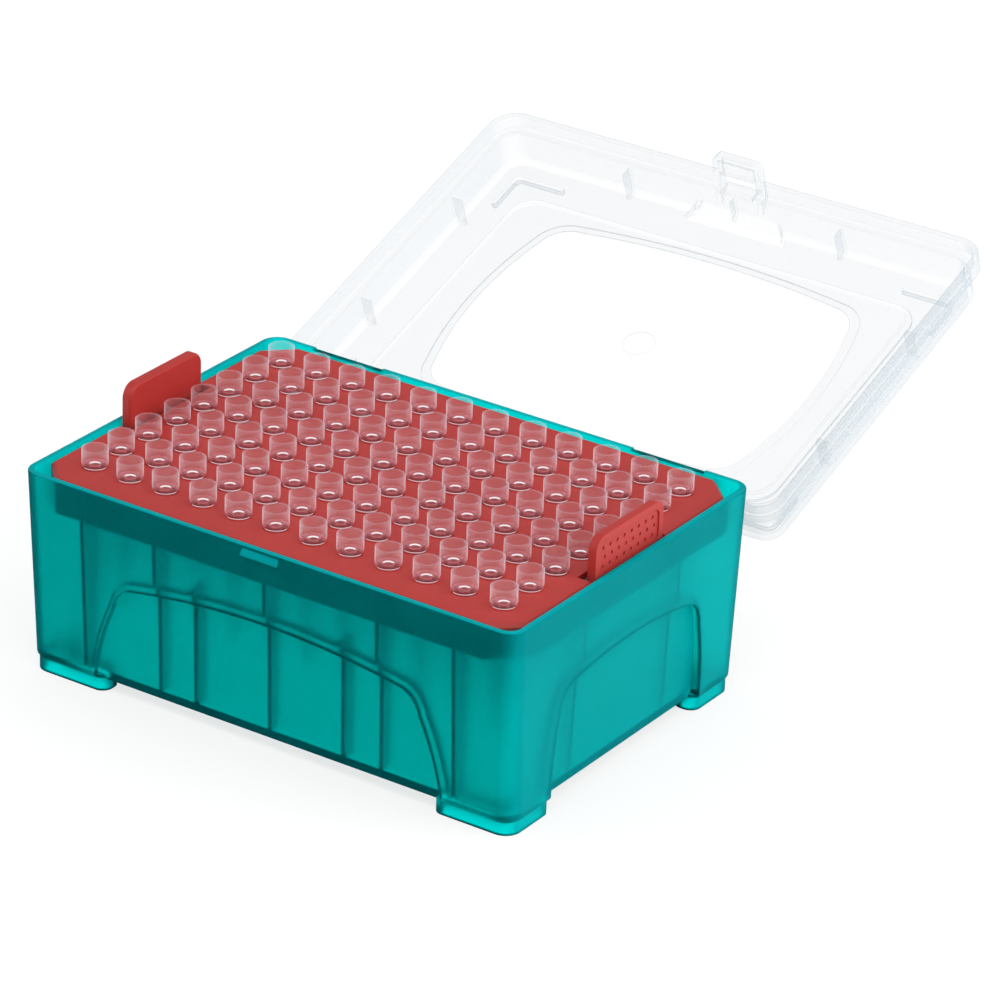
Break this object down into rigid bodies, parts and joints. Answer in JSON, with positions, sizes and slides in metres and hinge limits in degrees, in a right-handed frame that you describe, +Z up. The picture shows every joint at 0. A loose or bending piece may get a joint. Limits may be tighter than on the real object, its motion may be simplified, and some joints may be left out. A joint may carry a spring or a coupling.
{
  "type": "pipette tip box",
  "caption": "Hinged-lid box with drafted arched walls and corner feet, holding a lift-out rack filled with small pipette tips.",
  "frame": {"origin": "centre of the box's footprint, on the table plane under the feet", "axes": "+X along the long side, +Y towards the hinge, +Z up"},
  "size_m": [0.1234, 0.1761, 0.073],
  "materials": {
    "teal_plastic": "satin translucent",
    "clear_plastic": "clear, lightly frosted",
    "red_plastic": "matte",
    "tip_plastic": "clear gloss"
  },
  "bodies": {
    "box": {"base": "teal_plastic", "rack": "red_plastic", "tips_column_01": "tip_plastic", "tips_column_02": "tip_plastic", "tips_column_03": "tip_plastic", "tips_column_04": "tip_plastic", "tips_column_05": "tip_plastic", "tips_column_06": "tip_plastic", "tips_column_07": "tip_plastic", "tips_column_08": "tip_plastic", "tips_column_09": "tip_plastic", "tips_column_10": "tip_plastic", "tips_column_11": "tip_plastic", "tips_column_12": "tip_plastic"},
    "cover": {"lid": "clear_plastic"}
  },
  "joints": [
    {"name": "lid_hinge", "type": "hinge", "parent": "box", "child": "cover", "pos_m": [0, 0.045, 0.04], "axis": [1, 0, 0], "range_deg": [0, 160]}
  ]
}
